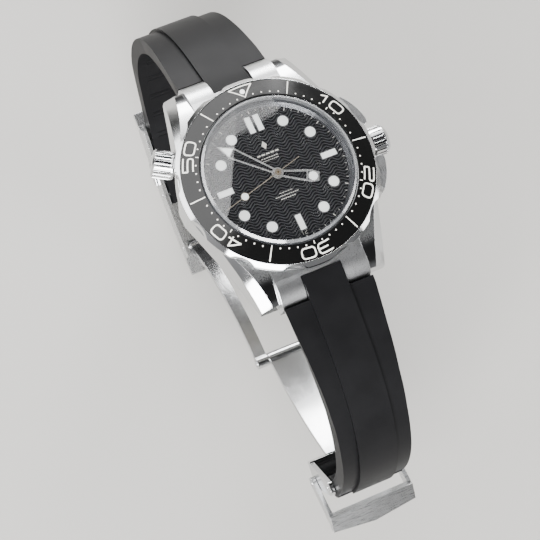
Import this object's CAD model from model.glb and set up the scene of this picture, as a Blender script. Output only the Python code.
import bpy
from math import cos, pi, radians, sin
from mathutils import Matrix, Quaternion, Vector


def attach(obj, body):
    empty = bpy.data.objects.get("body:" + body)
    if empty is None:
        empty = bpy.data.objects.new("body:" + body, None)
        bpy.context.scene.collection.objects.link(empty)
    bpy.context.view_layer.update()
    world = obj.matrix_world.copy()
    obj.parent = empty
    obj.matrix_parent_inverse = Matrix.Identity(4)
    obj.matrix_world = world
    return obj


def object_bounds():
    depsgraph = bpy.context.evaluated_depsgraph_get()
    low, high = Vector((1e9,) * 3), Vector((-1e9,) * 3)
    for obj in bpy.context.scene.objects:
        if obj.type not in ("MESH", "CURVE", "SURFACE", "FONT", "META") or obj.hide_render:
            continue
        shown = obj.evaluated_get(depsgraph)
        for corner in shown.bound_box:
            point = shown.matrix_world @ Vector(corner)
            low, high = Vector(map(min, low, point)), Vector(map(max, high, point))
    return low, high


# Looks of the dive watch. Metres, in the frame of the CAD: +Z dial normal, +Y 12 o'clock, +X crown.
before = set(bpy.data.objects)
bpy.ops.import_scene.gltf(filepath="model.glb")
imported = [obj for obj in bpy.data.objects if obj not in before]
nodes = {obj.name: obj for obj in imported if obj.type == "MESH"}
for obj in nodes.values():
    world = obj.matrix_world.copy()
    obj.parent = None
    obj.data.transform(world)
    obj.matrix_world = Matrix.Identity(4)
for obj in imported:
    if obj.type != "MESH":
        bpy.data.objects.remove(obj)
size_before = [list(corner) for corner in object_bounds()]

MM = 0.001

# places on the CAD that the printed pieces follow, in millimetres
DIAL_TOP = 9.0
LOZENGE_TOP = 9.16
DATE_DISC_TOP = 8.49
DATE_R = 13.35
# inner and outer edge of the insert's sloping face: radius and height
CONE_IN = (16.35, 11.95)
CONE_OUT = (20.0, 10.85)
# side view (y, z) of the pin in the strap's end at 6
STRAP_PIN_6 = (-57.8, -28.8)
# the hands, in degrees clockwise from 12
HOUR_AT = 116.3
MINUTE_AT = 315.8
SECOND_AT = 254.5
MINUTE_ANGLE = 6

# most of a noise texture's values lie between these
NOISE_LOW = 0.3
NOISE_HIGH = 0.7


# ---------------------------------------------------------------- mesh helpers
CORNER_STEPS = 5
# how far a sharp corner may stretch a stroke, and the shortest length that has a direction
MITRE_LIMIT = 1.6
TINY = 1e-9


def clock(radius, clockwise):
    """Point (x, y) in millimetres at a radius and a clockwise angle from 12."""
    angle = radians(90 - clockwise)
    return radius * cos(angle), radius * sin(angle)


def rounded(points, radius, closed):
    """Polyline with its corners rounded."""
    corners = [Vector(p) for p in points]
    result = []
    for number, corner in enumerate(corners):
        if not closed and number in (0, len(corners) - 1):
            result.append(corner)
            continue
        before = corners[number - 1]
        after = corners[(number + 1) % len(corners)]
        reach = min(radius, (before - corner).length / 2, (after - corner).length / 2)
        start = corner + (before - corner).normalized() * reach
        end = corner + (after - corner).normalized() * reach
        for step in range(CORNER_STEPS + 1):
            share = step / CORNER_STEPS
            first = start.lerp(corner, share)
            second = corner.lerp(end, share)
            result.append(first.lerp(second, share))
    return result


def ribbon(points, width, closed=False):
    """Quads (four flat corners each) of a stroke of even width along a polyline."""
    count = len(points)
    left, right = [], []
    for number, point in enumerate(points):
        before = points[number - 1] if closed or number else points[0]
        after = points[(number + 1) % count] if closed or number < count - 1 else points[-1]
        first = point - before
        second = after - point
        if first.length < TINY:
            first = second
        if second.length < TINY:
            second = first
        along = (first.normalized() + second.normalized()).normalized()
        across = Vector((-along.y, along.x))
        square = Vector((-first.y, first.x)).normalized()
        stretch = min(MITRE_LIMIT, 1 / max(TINY, abs(across.dot(square))))
        left.append(point + across * width / 2 * stretch)
        right.append(point - across * width / 2 * stretch)
    last = count if closed else count - 1
    return [(left[i], left[(i + 1) % count], right[(i + 1) % count], right[i]) for i in range(last)]


def bar(start, end, width):
    """One straight stroke between two points."""
    return ribbon([Vector(start), Vector(end)], width)


def disc(centre, radius, sides=28):
    """One round polygon."""
    return tuple(
        Vector((centre[0] + radius * cos(2 * pi * i / sides), centre[1] + radius * sin(2 * pi * i / sides)))
        for i in range(sides)
    )


def level(height):
    """Surface of one height, for plates on a flat face."""
    return lambda x, y: height


def signed_area(spots):
    """Twice the area of a polygon, positive where it runs counterclockwise."""
    return sum(a[0] * b[1] - b[0] * a[1] for a, b in zip(spots, spots[1:] + spots[:1]))


def plates(name, polygons, height_at, thickness, body, material, place=None):
    """Thin raised plates from flat polygons in millimetres, lifted onto a surface and moved by place."""
    vertices, faces = [], []
    for polygon in polygons:
        base = len(vertices)
        count = len(polygon)
        spots = [place(p) if place else (p.x, p.y) for p in polygon]
        for top in (0.0, thickness):
            for x, y in spots:
                vertices.append((x * MM, y * MM, (height_at(x, y) + top) * MM))
        ring = list(range(count))
        if signed_area(spots) <= 0:
            ring.reverse()
        faces.append([base + count + i for i in ring])
        faces.append([base + i for i in reversed(ring)])
        for i in range(count):
            a, b = ring[i], ring[(i + 1) % count]
            faces.append([base + a, base + b, base + count + b, base + count + a])
    mesh = bpy.data.meshes.new(name)
    mesh.from_pydata(vertices, [], faces)
    mesh.materials.append(material)
    piece = bpy.data.objects.new(name, mesh)
    bpy.context.scene.collection.objects.link(piece)
    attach(piece, body)
    return piece


# ---------------------------------------------------------------- shader helpers
class Shader:
    """A Principled material with a few shortcuts for procedural detail."""

    def __init__(self, name, color, metallic, roughness, **sockets):
        self.material = bpy.data.materials.new(name)
        self.material.use_nodes = True
        self.nodes = self.material.node_tree.nodes
        self.links = self.material.node_tree.links
        self.bsdf = self.nodes["Principled BSDF"]
        self.bsdf.inputs["Base Color"].default_value = (*color, 1)
        self.bsdf.inputs["Metallic"].default_value = metallic
        self.bsdf.inputs["Roughness"].default_value = roughness
        for socket, value in sockets.items():
            self.bsdf.inputs[socket.replace("_", " ")].default_value = value
        self.coords = self.nodes.new("ShaderNodeTexCoord")
        self.normal = None

    def link(self, source, target):
        self.links.new(source, target)

    def feed(self, socket, value):
        """Give a socket a number, or the output of another node."""
        if isinstance(value, (int, float)):
            socket.default_value = value
        else:
            self.link(value, socket)

    def math(self, operation, first, second=0.0):
        node = self.nodes.new("ShaderNodeMath")
        node.operation = operation
        for socket, value in zip(node.inputs, (first, second)):
            self.feed(socket, value)
        return node.outputs[0]

    def products(self, a, b, c, d):
        """The sum a * b + c * d."""
        return self.math("ADD", self.math("MULTIPLY", a, b), self.math("MULTIPLY", c, d))

    def zigzag(self, value):
        """Climb from 0 to 0.5 and back over each whole step of a value."""
        return self.math("PINGPONG", self.math("FRACT", value), 0.5)

    def split(self, vector):
        node = self.nodes.new("ShaderNodeSeparateXYZ")
        self.link(vector, node.inputs[0])
        return node.outputs

    def join(self, x, y, z):
        node = self.nodes.new("ShaderNodeCombineXYZ")
        for socket, value in zip(node.inputs, (x, y, z)):
            self.feed(socket, value)
        return node.outputs[0]

    def noise(self, scale, detail, vector=None):
        """Noise; scale is one number or one per axis, in features per metre."""
        mapping = self.nodes.new("ShaderNodeMapping")
        self.link(vector or self.coords.outputs["Object"], mapping.inputs["Vector"])
        mapping.inputs["Scale"].default_value = scale if isinstance(scale, tuple) else (scale,) * 3
        noise = self.nodes.new("ShaderNodeTexNoise")
        noise.inputs["Scale"].default_value = 1.0
        noise.inputs["Detail"].default_value = detail
        self.link(mapping.outputs[0], noise.inputs["Vector"])
        return noise.outputs[0]

    def spread(self, value, low, high, to_low, to_high, smooth=False):
        """Carry one range of numbers over to another."""
        node = self.nodes.new("ShaderNodeMapRange")
        node.interpolation_type = "SMOOTHSTEP" if smooth else "LINEAR"
        for socket, number in zip(("From Min", "From Max", "To Min", "To Max"), (low, high, to_low, to_high)):
            node.inputs[socket].default_value = number
        self.link(value, node.inputs["Value"])
        return node.outputs[0]

    def between(self, noise, low, high):
        """Carry a noise over to a range of numbers."""
        return self.spread(noise, NOISE_LOW, NOISE_HIGH, low, high)

    def mix(self, factor, first, second):
        """Blend of two numbers or sockets by a factor."""
        node = self.nodes.new("ShaderNodeMix")
        node.data_type = "FLOAT"
        for socket, value in zip((node.inputs[0], node.inputs[2], node.inputs[3]), (factor, first, second)):
            self.feed(socket, value)
        return node.outputs[0]

    def colors(self, factor, stops):
        """Base colour from a ramp of (position, colour) stops."""
        ramp = self.nodes.new("ShaderNodeValToRGB")
        elements = ramp.color_ramp.elements
        while len(elements) < len(stops):
            elements.new(0.5)
        for element, (position, color) in zip(elements, stops):
            element.position = position
            element.color = (*color, 1)
        self.link(factor, ramp.inputs[0])
        self.link(ramp.outputs[0], self.bsdf.inputs["Base Color"])

    def rough(self, value):
        self.link(value, self.bsdf.inputs["Roughness"])

    def soft_edges(self, radius):
        """Round every sharp edge a little in the shading; radius is in millimetres."""
        bevel = self.nodes.new("ShaderNodeBevel")
        bevel.samples = 4
        bevel.inputs["Radius"].default_value = radius * MM
        self.normal = bevel.outputs[0]
        self.link(self.normal, self.bsdf.inputs["Normal"])

    def bump(self, height, depth, strength):
        """Raise the surface by a height field; depth is in millimetres."""
        node = self.nodes.new("ShaderNodeBump")
        node.inputs["Strength"].default_value = strength
        node.inputs["Distance"].default_value = depth * MM
        self.link(height, node.inputs["Height"])
        if self.normal is not None:
            self.link(self.normal, node.inputs["Normal"])
        self.normal = node.outputs[0]
        self.link(self.normal, self.bsdf.inputs["Normal"])


STEEL = (0.58, 0.585, 0.59)


def polished(name, color=STEEL, edge=0.1):
    """Mirror-polished metal with faint smears."""
    shader = Shader(name, color, 1.0, 0.08)
    shader.soft_edges(edge)
    smear = shader.noise(260, 4)
    shader.rough(shader.between(smear, 0.05, 0.14))
    shader.bump(shader.noise(900, 2), 0.004, 0.25)
    return shader.material


def brushed(name, grain, color=STEEL, low=0.24, high=0.42, edge=0.1, tilt=0.0):
    """Satin metal; grain gives the noise features per metre along each axis, tilted about X."""
    shader = Shader(name, color, 1.0, 0.3, Anisotropic=0.3)
    shader.soft_edges(edge)
    tilted = shader.nodes.new("ShaderNodeMapping")
    tilted.inputs["Rotation"].default_value[0] = radians(-tilt)
    shader.link(shader.coords.outputs["Object"], tilted.inputs["Vector"])
    lines = shader.noise(grain, 3, tilted.outputs[0])
    shader.rough(shader.between(lines, low, high))
    shader.bump(lines, 0.006, 0.5)
    return shader.material


def turned(name, color=STEEL, low=0.16, high=0.32):
    """Metal with fine circular lathe lines about the dial axis."""
    rings = 14000
    shader = Shader(name, color, 1.0, 0.25)
    shader.soft_edges(0.06)
    x, y, z = shader.split(shader.coords.outputs["Object"])
    radius = shader.math("SQRT", shader.products(x, x, y, y))
    angle = shader.math("ARCTAN2", y, x)
    lines = shader.noise((rings, 1.5, rings), 2, shader.join(radius, angle, z))
    shader.rough(shader.between(lines, low, high))
    shader.bump(lines, 0.004, 0.4)
    return shader.material


def striped(name, color, pitch):
    """Plated bridge metal with broad decorative stripes; pitch is in millimetres."""
    shader = Shader(name, color, 1.0, 0.25)
    shader.soft_edges(0.06)
    x = shader.split(shader.coords.outputs["Object"])[0]
    arc = shader.zigzag(shader.math("DIVIDE", x, pitch * MM))
    fine = shader.noise((400, 9000, 9000), 2)
    shader.rough(shader.mix(arc, 0.18, 0.4))
    shader.bump(arc, 0.06, 0.5)
    shader.bump(fine, 0.004, 0.4)
    return shader.material


def pearled(name, color, pitch):
    """Plate metal with rows of small round spots; pitch is in millimetres."""
    shader = Shader(name, color, 1.0, 0.3)
    shader.soft_edges(0.05)
    spots = shader.nodes.new("ShaderNodeTexVoronoi")
    spots.inputs["Scale"].default_value = 1 / (pitch * MM)
    spots.inputs["Randomness"].default_value = 0.15
    shader.link(shader.coords.outputs["Object"], spots.inputs["Vector"])
    rings = shader.math("FRACT", shader.math("MULTIPLY", spots.outputs["Distance"], 5))
    shader.rough(shader.spread(rings, 0, 1, 0.2, 0.42))
    shader.bump(spots.outputs["Distance"], 0.03, 0.4)
    return shader.material


def hand_steel(name, color, metallic):
    """Facetted hand or marker metal that stays light against a dark dial."""
    shader = Shader(name, color, metallic, 0.3)
    shader.soft_edges(0.12)
    grain = shader.noise((9000, 9000, 2000), 2)
    shader.rough(shader.between(grain, 0.22, 0.36))
    shader.bump(grain, 0.003, 0.4)
    return shader.material


def fine_plastic(name, color, roughness, grain=9000, depth=0.006, **sockets):
    """Plastic, rubber or print with a fine grain."""
    shader = Shader(name, color, 0.0, roughness, **sockets)
    fine = shader.noise(grain, 3)
    cloud = shader.noise(220, 3)
    dark = tuple(c * 0.86 for c in color)
    light = tuple(min(1, c * 1.12) for c in color)
    shader.colors(cloud, [(NOISE_LOW, dark), (NOISE_HIGH, light)])
    shader.rough(shader.between(cloud, roughness * 0.88, roughness * 1.1))
    shader.bump(fine, depth, 0.4)
    return shader.material


# ---------------------------------------------------------------- materials
def case_steel():
    """Satin on the upward faces, mirror polish on flanks and bevels."""
    shader = Shader("case_steel", STEEL, 1.0, 0.2)
    shader.soft_edges(0.14)
    up = shader.split(shader.coords.outputs["Normal"])[2]
    satin = shader.spread(up, 0.9, 0.96, 0, 1, True)
    lines = shader.noise((16000, 500, 9000), 3)
    smear = shader.noise(240, 3)
    flank = shader.between(smear, 0.05, 0.13)
    upper = shader.between(lines, 0.22, 0.4)
    shader.rough(shader.mix(satin, flank, upper))
    shader.bump(shader.math("MULTIPLY", lines, satin), 0.007, 0.5)
    return shader.material


def crystal_glass():
    """Clear dome; its bevelled rim catches the light."""
    shader = Shader("crystal_glass", (0.75, 0.78, 0.82), 0.0, 0.02, IOR=6.0)
    up = shader.split(shader.coords.outputs["Normal"])[2]
    haze = shader.noise(120, 2)
    rim = shader.spread(up, 0.97, 0.8, 0.0, 1.0, True)
    clear = shader.between(haze, 0.09, 0.11)
    shader.link(shader.mix(rim, clear, 0.3), shader.bsdf.inputs["Alpha"])
    shader.rough(shader.mix(rim, 0.015, 0.12))
    shader.colors(rim, [(0.0, (0.02, 0.022, 0.026)), (1.0, (0.75, 0.77, 0.8))])
    return shader.material


def back_glass():
    """Flat window of the case back."""
    shader = Shader("back_glass", (0.02, 0.022, 0.025), 0.0, 0.03, IOR=1.9)
    haze = shader.noise(150, 2)
    shader.link(shader.between(haze, 0.08, 0.11), shader.bsdf.inputs["Alpha"])
    return shader.material


def wave_dial():
    """Gloss black with level rows of waves cut into it."""
    length = 3.1 * MM
    swing = 0.42 * MM
    pitch = 0.68 * MM
    shader = Shader("wave_dial", (0.004, 0.004, 0.005), 0.0, 0.16, IOR=1.4)
    x, y = shader.split(shader.coords.outputs["Object"])[:2]
    phase = shader.math("MULTIPLY", x, 2 * pi / length)
    waved = shader.math("ADD", y, shader.math("MULTIPLY", shader.math("SINE", phase), swing))
    rows = shader.zigzag(shader.math("DIVIDE", waved, pitch))
    # even line width: shorten the distance where the wave is steep
    slope = shader.math("MULTIPLY", shader.math("COSINE", phase), 2 * pi * swing / length)
    steep = shader.math("SQRT", shader.math("ADD", shader.math("MULTIPLY", slope, slope), 1.0))
    distance = shader.math("DIVIDE", rows, steep)
    groove = shader.spread(distance, 0.04, 0.3, 0, 1, True)
    shader.colors(groove, [(0.0, (0.04, 0.04, 0.042)), (1.0, (0.004, 0.004, 0.005))])
    shader.rough(shader.mix(groove, 0.45, 0.14))
    shader.bump(groove, 0.05, 0.7)
    return shader.material


def insert_ceramic():
    """Deep gloss black ceramic with a faint polish haze."""
    shader = Shader("insert_ceramic", (0.004, 0.004, 0.004), 0.0, 0.12, IOR=1.5)
    cloud = shader.noise(180, 3)
    shader.rough(shader.between(cloud, 0.1, 0.17))
    shader.bump(shader.noise(2500, 2), 0.002, 0.2)
    return shader.material


# cross grooves inside the strap, in metres: the loop's centre in the side view (y, z), then the grooves
LOOP_CENTRE = (-0.005, -0.026)
GROOVES_PER_RADIAN = 9
GROOVE_HALF_LENGTH = 0.0062


def strap_rubber():
    """Satin rubber; moulded cross grooves on the face towards the wrist."""
    shader = Shader("strap_rubber", (0.004, 0.004, 0.005), 0.0, 0.5, IOR=1.4, Specular_IOR_Level=0.19)
    x, y, z = shader.split(shader.coords.outputs["Object"])
    in_y = shader.math("ADD", y, -LOOP_CENTRE[0])
    in_z = shader.math("ADD", z, -LOOP_CENTRE[1])
    angle = shader.math("ARCTAN2", in_z, in_y)
    grooves = shader.zigzag(shader.math("MULTIPLY", angle, GROOVES_PER_RADIAN))
    facing = shader.split(shader.coords.outputs["Normal"])
    inward = shader.products(facing[1], in_y, facing[2], in_z)
    inner_face = shader.spread(inward, 0.0, -0.015, 0, 1)
    middle = shader.math("LESS_THAN", shader.math("ABSOLUTE", x), GROOVE_HALF_LENGTH)
    mask = shader.math("MULTIPLY", inner_face, middle)
    cut = shader.math("MULTIPLY", shader.spread(grooves, 0.06, 0.12, 0, 1, True), mask)
    cloud = shader.noise(160, 4)
    shader.colors(cloud, [(NOISE_LOW, (0.0035, 0.0035, 0.004)), (NOISE_HIGH, (0.0048, 0.0048, 0.0055))])
    shader.rough(shader.between(cloud, 0.46, 0.51))
    shader.bump(cut, 0.35, 0.8)
    shader.bump(shader.noise(9000, 3), 0.008, 0.5)
    return shader.material


def ruby():
    """Synthetic ruby of the bearing jewels."""
    shader = Shader("ruby", (0.55, 0.01, 0.06), 0.0, 0.08, IOR=1.76, Coat_Weight=0.5)
    shader.colors(shader.noise(3000, 2), [(NOISE_LOW, (0.45, 0.006, 0.05)), (NOISE_HIGH, (0.7, 0.02, 0.1))])
    return shader.material


def floor_paper():
    """Plain pale studio floor."""
    shader = Shader("floor_paper", (0.43, 0.42, 0.4), 0.0, 0.75)
    shader.colors(shader.noise(14, 3), [(NOISE_LOW, (0.42, 0.41, 0.39)), (NOISE_HIGH, (0.44, 0.43, 0.41))])
    return shader.material


mirror_steel = polished("mirror_steel")
hand_white = hand_steel("hand_white", (0.7, 0.7, 0.69), 0.8)
marker_rim = hand_steel("marker_rim", (0.26, 0.26, 0.265), 0.9)
seconds_gold = hand_steel("seconds_gold", (0.5, 0.43, 0.34), 0.8)
rehaut_metal = turned("rehaut_metal", (0.22, 0.225, 0.24), 0.2, 0.34)
crown_steel = polished("crown_steel", edge=0.08)
link_steel = brushed("link_steel", (9000, 9000, 700))
cover_steel = brushed("cover_steel", (14000, 500, 9000), low=0.2, high=0.36, tilt=23)
plate_steel = brushed("plate_steel", (500, 12000, 12000), low=0.22, high=0.38)
blade_steel = brushed("blade_steel", (9000, 900, 900), low=0.12, high=0.26)
back_steel = turned("back_steel")
gilt = turned("gilt", (0.78, 0.55, 0.24), 0.14, 0.3)
bridge_metal = striped("bridge_metal", (0.72, 0.71, 0.69), 2.4)
rotor_metal = striped("rotor_metal", (0.76, 0.74, 0.7), 3.2)
plate_metal = pearled("plate_metal", (0.7, 0.69, 0.66), 1.1)
spring_steel = brushed("spring_steel", (7000, 7000, 7000), (0.36, 0.38, 0.44), 0.18, 0.34, 0.03)
lume = fine_plastic(
    "lume", (0.9, 0.91, 0.89), 0.55, 16000, 0.004,
    Emission_Color=(0.95, 1.0, 0.97, 1.0), Emission_Strength=0.9,
)
print_white = fine_plastic("print_white", (0.88, 0.86, 0.8), 0.4, 16000, 0.003)
gasket_black = fine_plastic("gasket_black", (0.02, 0.02, 0.02), 0.6)
ring_grey = fine_plastic("ring_grey", (0.16, 0.16, 0.17), 0.5)
date_black = fine_plastic("date_black", (0.012, 0.012, 0.013), 0.35)

LOOKS = {
    case_steel(): ["case_middle"],
    mirror_steel: ["bezel_ring", "clasp_yoke", "clasp_pusher_3_side", "clasp_pusher_9_side", "clasp_pins",
                   "yoke_pins", "spring_bars", "valve_tube", "crown_tube", "valve_piston", "rotor_bearing",
                   "bridge_screws"],
    crown_steel: ["crown", "valve_knob"],
    hand_white: ["hour_hand", "minute_hand"],
    marker_rim: ["hour_markers"],
    seconds_gold: ["seconds_hand"],
    link_steel: ["end_links"],
    cover_steel: ["clasp_cover"],
    plate_steel: ["safety_frame"],
    blade_steel: ["clasp_blade_middle", "clasp_blade_inner"],
    back_steel: ["case_back"],
    gilt: ["fourth_wheel", "third_wheel", "centre_wheel", "barrel", "minute_wheel", "hour_wheel",
           "balance_wheel"],
    bridge_metal: ["barrel_bridge", "train_bridge", "balance_cock", "pallet_cock"],
    rotor_metal: ["rotor"],
    plate_metal: ["mainplate"],
    spring_steel: ["mainspring", "hairspring", "bezel_click_spring", "valve_spring", "barrel_arbor",
                   "stem_pinions", "winding_stem", "escape_wheel", "pallet_lever"],
    lume: ["marker_lume", "bezel_pearl"],
    rehaut_metal: ["rehaut_ring"],
    gasket_black: ["gaskets"],
    ring_grey: ["movement_ring"],
    date_black: ["date_disc"],
    crystal_glass(): ["crystal"],
    back_glass(): ["case_back_crystal"],
    wave_dial(): ["dial"],
    insert_ceramic(): ["bezel_insert"],
    strap_rubber(): ["strap_12", "strap_6"],
    ruby(): ["jewels"],
}
for material, names in LOOKS.items():
    for name in names:
        mesh = nodes[name].data
        mesh.materials.clear()
        mesh.materials.append(material)

# ---------------------------------------------------------------- numerals
# plain rounded numerals as strokes in a unit box, x from -0.5 to 0.5 and y from 0 to 1;
# a point close beside a corner keeps that corner sharp
NUMERALS = {
    "0": [([(-0.5, 0), (-0.5, 1), (0.5, 1), (0.5, 0)], True)],
    "1": [([(-0.42, 0.72), (0.0, 1), (0.0, 0)], False)],
    "2": [([(-0.5, 1), (0.5, 1), (0.5, 0.55), (-0.44, 0.5), (-0.5, 0.45), (-0.5, 0.06), (-0.5, 0),
            (-0.44, 0), (0.5, 0)], False)],
    "3": [([(-0.5, 1), (0.5, 1), (0.5, 0), (-0.5, 0)], False), ([(-0.25, 0.5), (0.5, 0.5)], False)],
    "4": [([(0.22, 0), (0.22, 1), (-0.5, 0.27), (0.5, 0.27)], False)],
    "5": [([(0.5, 1), (-0.44, 1), (-0.5, 1), (-0.5, 0.94), (-0.5, 0.6), (-0.5, 0.54), (-0.44, 0.54),
            (0.5, 0.54), (0.5, 0), (-0.5, 0)], False)],
    "6": [([(0.5, 1), (-0.5, 1), (-0.5, 0), (0.5, 0), (0.5, 0.55), (-0.5, 0.55)], False)],
    "7": [([(-0.5, 1), (0.5, 1), (-0.1, 0)], False)],
    "8": [([(-0.5, 0), (-0.5, 1), (0.5, 1), (0.5, 0)], True), ([(-0.5, 0.5), (0.5, 0.5)], False)],
    "9": [([(-0.5, 0), (0.5, 0), (0.5, 1), (-0.5, 1), (-0.5, 0.45), (0.5, 0.45)], False)],
}
ANGULAR_FIGURES = "147"
ANGULAR_CORNER = 0.02
STEP_LENGTH = 0.25
# width, height, stroke and corner radius in millimetres
BEZEL_FIGURE = (2.85, 2.0, 0.3, 0.75)
DATE_FIGURE = (0.46, 0.8, 0.12, 0.16)


def dense(path, closed):
    """The same path with a point at least every quarter millimetre, so that it bends with a ring."""
    result = []
    for i in range(len(path) if closed else len(path) - 1):
        first, second = path[i], path[(i + 1) % len(path)]
        steps = max(1, int((second - first).length / STEP_LENGTH))
        result += [first.lerp(second, step / steps) for step in range(steps)]
    if not closed:
        result.append(path[-1])
    return result


def numeral(figure, shift, width, height, stroke, corner):
    """Ribbon quads of one figure, centred at a shift along x."""
    quads = []
    for points, closed in NUMERALS[figure]:
        scaled = [(shift + x * width, y * height) for x, y in points]
        path = rounded(scaled, ANGULAR_CORNER if figure in ANGULAR_FIGURES else corner, closed)
        quads += ribbon(dense(path, closed), stroke, closed)
    return quads


# ---------------------------------------------------------------- bezel scale
# radii and sizes in millimetres
SCALE_INNER_R = 16.5
DOT_RING_R = 16.95
FIGURE_BASE_R = 17.5
FIGURE_MIDDLE_R = 18.3
DOT_R = 0.17
TICK_LENGTH, TICK_WIDTH = 0.62, 0.2
LINE_LENGTH, LINE_WIDTH = 3.15, 0.24
RING_PRINT_THICKNESS = 0.03
RING_PRINT_SUNK = 0.012


def cone_height(x, y):
    """Height at which the print starts, a little under the insert's sloping face."""
    radius = (x * x + y * y) ** 0.5
    share = (radius - CONE_IN[0]) / (CONE_OUT[0] - CONE_IN[0])
    return CONE_IN[1] + (CONE_OUT[1] - CONE_IN[1]) * share - RING_PRINT_SUNK


def on_ring(clockwise, base_radius):
    """Places flat figure coordinates on the ring, tops outwards."""
    def place(point):
        radius = base_radius + point.y
        return clock(radius, clockwise + point.x / FIGURE_MIDDLE_R * 180 / pi)
    return place


def ring_piece(name, minute, base_radius, polygons):
    """One raised white piece of the bezel scale, at a minute of the dial."""
    place = on_ring(minute * MINUTE_ANGLE, base_radius)
    plates(name, polygons, cone_height, RING_PRINT_THICKNESS, "bezel", print_white, place)


for minute in range(10, 60, 10):
    shift = 1.4 if minute == 10 else 1.8
    figures = numeral(str(minute // 10), -shift, *BEZEL_FIGURE) + numeral("0", shift, *BEZEL_FIGURE)
    ring_piece(f"bezel_numeral_{minute}", minute, FIGURE_BASE_R, figures)
    ring_piece(f"bezel_tick_{minute}", minute, SCALE_INNER_R, bar((0, 0), (0, TICK_LENGTH), TICK_WIDTH))
for minute in range(60):
    if minute % 10 == 0:
        continue
    if minute % 5 == 0:
        line = bar((0, 0), (0, LINE_LENGTH), LINE_WIDTH)
        ring_piece(f"bezel_line_{minute:02d}", minute, SCALE_INNER_R, line)
    else:
        ring_piece(f"bezel_dot_{minute:02d}", minute, DOT_RING_R, [disc((0, 0), DOT_R, 16)])
triangle = dense(rounded([(-2.35, 3.05), (2.35, 3.05), (0, 0.25)], 0.05, True), True)
ring_piece("bezel_triangle", 0, SCALE_INNER_R, ribbon(triangle, LINE_WIDTH, True))

# ---------------------------------------------------------------- dial printing
DIAL_PRINT_THICKNESS = 0.015
TRACK_OUTER_R = 14.62
# inner radius and width
HOUR_STROKE = (13.95, 0.16)
MINUTE_STROKE = (14.2, 0.09)
# the stroke at 6 starts outside the date window
DATE_STROKE = (14.3, 0.16)

track = []
for minute in range(60):
    inner, width = HOUR_STROKE if minute % 5 == 0 else MINUTE_STROKE
    if minute == 30:
        inner, width = DATE_STROKE
    clockwise = minute * MINUTE_ANGLE
    track += bar(clock(inner, clockwise), clock(TRACK_OUTER_R, clockwise), width)
plates("dial_minute_track", track, level(DIAL_TOP), DIAL_PRINT_THICKNESS, "case", print_white)

# white face of the plain lozenge below 12
lozenge = tuple(Vector(corner) for corner in ((0.0, 7.5), (-0.58, 6.6), (0.0, 5.7), (0.58, 6.6)))
plates("dial_lozenge_face", [lozenge], level(LOZENGE_TOP), 0.01, "case", print_white)

# rows of plain dashes where a dial usually carries small lettering:
# place up the dial, half the row's length, number of dashes, and thickness
DASH_ROWS = (
    (4.75, 2.5, 5, 0.3), (3.9, 1.9, 7, 0.16), (3.35, 1.9, 9, 0.12),
    (-4.1, 1.5, 5, 0.12), (-4.75, 2.6, 11, 0.14), (-5.4, 1.7, 7, 0.16),
)
DASH_START, DASH_END = 0.12, 0.88

dashes = []
for y, half, count, thickness in DASH_ROWS:
    step = 2 * half / count
    for number in range(count):
        x = -half + number * step
        dashes += bar((x + step * DASH_START, y), (x + step * DASH_END, y), thickness)
plates("dial_dashes", dashes, level(DIAL_TOP), DIAL_PRINT_THICKNESS, "case", print_white)

# ---------------------------------------------------------------- hand lume
HAND_LUME_THICKNESS = 0.11


def along_hand(clockwise):
    """Places points given across and along a hand."""
    def place(point):
        ax, ay = clock(1, clockwise)
        return point.x * ay + point.y * ax, -point.x * ax + point.y * ay
    return place


def hand_lume(name, polygon, height, clockwise, body):
    """Lume pellet inside a hand's frame."""
    piece = plates(name, [polygon], level(height), HAND_LUME_THICKNESS, body, lume, along_hand(clockwise))
    return piece


arrow = (Vector((-0.93, 10.32)), Vector((0.93, 10.32)), Vector((0, 12.7)))
hand_lume("hour_hand_lume", disc((0, 7.3), 0.91), 9.32, HOUR_AT, "hour")
hand_lume("minute_hand_lume", arrow, 9.64, MINUTE_AT, "centre")
hand_lume("seconds_hand_lume", disc((0, 8.8), 0.73), 9.93, SECOND_AT, "fourth")

# ---------------------------------------------------------------- date numbers
DAYS = 31
DAY_SHOWN = 12
FIGURE_SPACING = 0.72
DATE_PRINT_THICKNESS = 0.02


def on_date_disc(clockwise):
    """Places flat figure coordinates on the date disc, upright where they stand at 6 o'clock."""
    def place(point):
        radius = DATE_R + DATE_FIGURE[1] / 2 - point.y
        return clock(radius, clockwise - point.x / DATE_R * 180 / pi)
    return place


for day in range(1, DAYS + 1):
    text = str(day)
    figures = []
    for number, figure in enumerate(text):
        figures += numeral(figure, (number - (len(text) - 1) / 2) * FIGURE_SPACING, *DATE_FIGURE)
    place = on_date_disc(180 + (day - DAY_SHOWN) * 360 / DAYS)
    name = f"date_number_{day:02d}"
    plates(name, figures, level(DATE_DISC_TOP), DATE_PRINT_THICKNESS, "date", print_white, place)

# ---------------------------------------------------------------- moulded ribs round the strap end bar
RIBS = 9
RIB_START, RIB_STEP = 120, 22
RIB_RING_R = 2.4
RIB_R = 0.26
RIB_LENGTH = 15.2

for number in range(RIBS):
    angle = radians(RIB_START + number * RIB_STEP)
    along = STRAP_PIN_6[0] + RIB_RING_R * cos(angle)
    above = STRAP_PIN_6[1] + RIB_RING_R * sin(angle)
    bpy.ops.mesh.primitive_cylinder_add(
        vertices=12, radius=RIB_R * MM, depth=RIB_LENGTH * MM, location=(0, along * MM, above * MM),
        rotation=(0, pi / 2, 0),
    )
    rib = bpy.context.object
    rib.name = f"strap_6_rib_{number + 1}"
    rib.data.name = rib.name
    rib.data.materials.append(nodes["strap_6"].data.materials[0])
    for face in rib.data.polygons:
        face.use_smooth = True
    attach(rib, "case")

# ---------------------------------------------------------------- studio
FLOOR_SIZE = 4.0
FLOOR_GAP = 0.002
# watts that give a square metre of area light a radiance of one
WATTS_FOR_RADIANCE = 4

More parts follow.
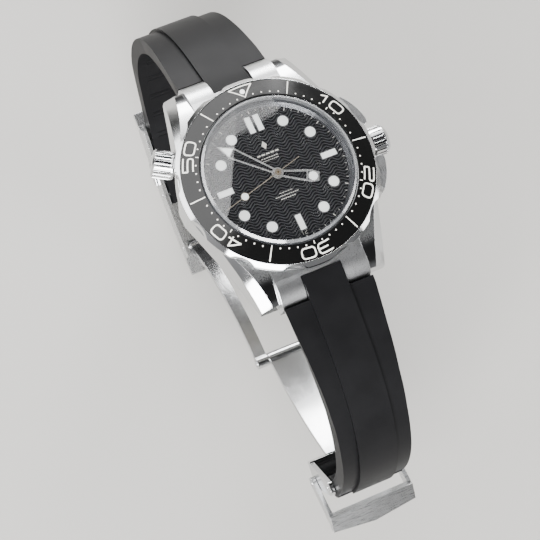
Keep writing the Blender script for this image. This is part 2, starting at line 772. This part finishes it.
floor_z = size_before[0][2] - FLOOR_GAP
bpy.ops.mesh.primitive_plane_add(size=FLOOR_SIZE, location=(0, 0, floor_z))
floor = bpy.context.object
floor.name = "studio_floor"
floor.data.materials.append(floor_paper())


def softbox(name, radiance, width, height, place, turn):
    """Rectangular area light of an even brightness, shining along its own -Z."""
    light = bpy.data.lights.new(name, "AREA")
    light.shape = "RECTANGLE"
    light.size = width
    light.size_y = height
    light.energy = WATTS_FOR_RADIANCE * radiance * width * height
    lamp = bpy.data.objects.new(name, light)
    bpy.context.scene.collection.objects.link(lamp)
    lamp.location = place
    lamp.rotation_mode = "QUATERNION"
    lamp.rotation_quaternion = turn


def low_softbox(name, radiance, width, height, direction, distance):
    """Softbox that stands in a direction and shines back at the watch head."""
    turn = Vector(direction).normalized().to_track_quat("Z", "Y")
    softbox(name, radiance, width, height, Vector(direction) * distance, turn)


# level panels above the 10 o'clock side, their near edges clear of the dial's mirror direction
UP = Vector((0, 0, 1))
softbox("panel_left", 3.2, 0.92, 0.42, (-0.077, 0.441, 0.6), Quaternion(UP, radians(62)))
softbox("panel_top", 2.4, 0.195, 0.33, (0.142, 0.509, 0.6), Quaternion(UP, radians(17.4)))
low_softbox("front_left", 18.0, 0.6, 0.5, (-0.5, -0.72, 0.48), 0.75)
low_softbox("right_low", 5.0, 0.44, 0.36, (0.9, -0.32, 0.24), 0.7)
low_softbox("back_low", 15.0, 0.6, 0.28, (0.25, 0.9, 0.38), 0.8)
low_softbox("left_low", 4.0, 0.72, 0.27, (-0.8, 0.55, 0.24), 0.7)
softbox("panel_back", 2.0, 0.34, 0.2, (0.37, 0.74, 0.6), Quaternion())

# the room: height above the horizon and grey, a bright band between a dark floor and a dark ceiling
ROOM_BAND = ((0.1, 0.12), (0.2, 0.95), (0.42, 0.9), (0.56, 0.1))
# it is lighter behind 12 o'clock than in front of 6
ROOM_DEPTH = (("From Min", -0.5), ("From Max", 0.5), ("To Min", 0.3), ("To Max", 1.4))

world = bpy.data.worlds.new("studio")
bpy.context.scene.world = world
world.use_nodes = True
tree = world.node_tree
background = tree.nodes["Background"]
direction = tree.nodes.new("ShaderNodeTexCoord")
axes = tree.nodes.new("ShaderNodeSeparateXYZ")
ramp = tree.nodes.new("ShaderNodeValToRGB")
tree.links.new(direction.outputs["Generated"], axes.inputs[0])
tree.links.new(axes.outputs[2], ramp.inputs[0])
tree.links.new(ramp.outputs[0], background.inputs["Color"])
stops = ramp.color_ramp.elements
stops[0].position, stops[0].color = 0.0, (0.06, 0.06, 0.06, 1)
stops[1].position, stops[1].color = 1.0, (0.05, 0.05, 0.055, 1)
for position, grey in ROOM_BAND:
    stop = stops.new(position)
    stop.color = (grey, grey, grey * 1.02, 1)
depth = tree.nodes.new("ShaderNodeMapRange")
for socket, value in ROOM_DEPTH:
    depth.inputs[socket].default_value = value
tree.links.new(axes.outputs[1], depth.inputs["Value"])
tree.links.new(depth.outputs[0], background.inputs["Strength"])

# ---------------------------------------------------------------- camera
CAMERA_AT = (-0.1213, -0.1227, 0.4313)
CAMERA_FORWARD = (0.248, 0.233, -0.941)
CAMERA_UP = (0.357, 0.880, 0.312)
CAMERA_LENS = 149.8
CAMERA_SENSOR = 36.0
CAMERA_CLIP = (0.01, 10.0)

forward = Vector(CAMERA_FORWARD).normalized()
right = forward.cross(Vector(CAMERA_UP)).normalized()
up = right.cross(forward)
camera_data = bpy.data.cameras.new("camera")
camera_data.lens = CAMERA_LENS
camera_data.sensor_width = CAMERA_SENSOR
camera_data.clip_start, camera_data.clip_end = CAMERA_CLIP
camera = bpy.data.objects.new("camera", camera_data)
bpy.context.scene.collection.objects.link(camera)
turn = Matrix((right, up, -forward)).transposed().to_4x4()
camera.matrix_world = Matrix.Translation(CAMERA_AT) @ turn
bpy.context.scene.camera = camera
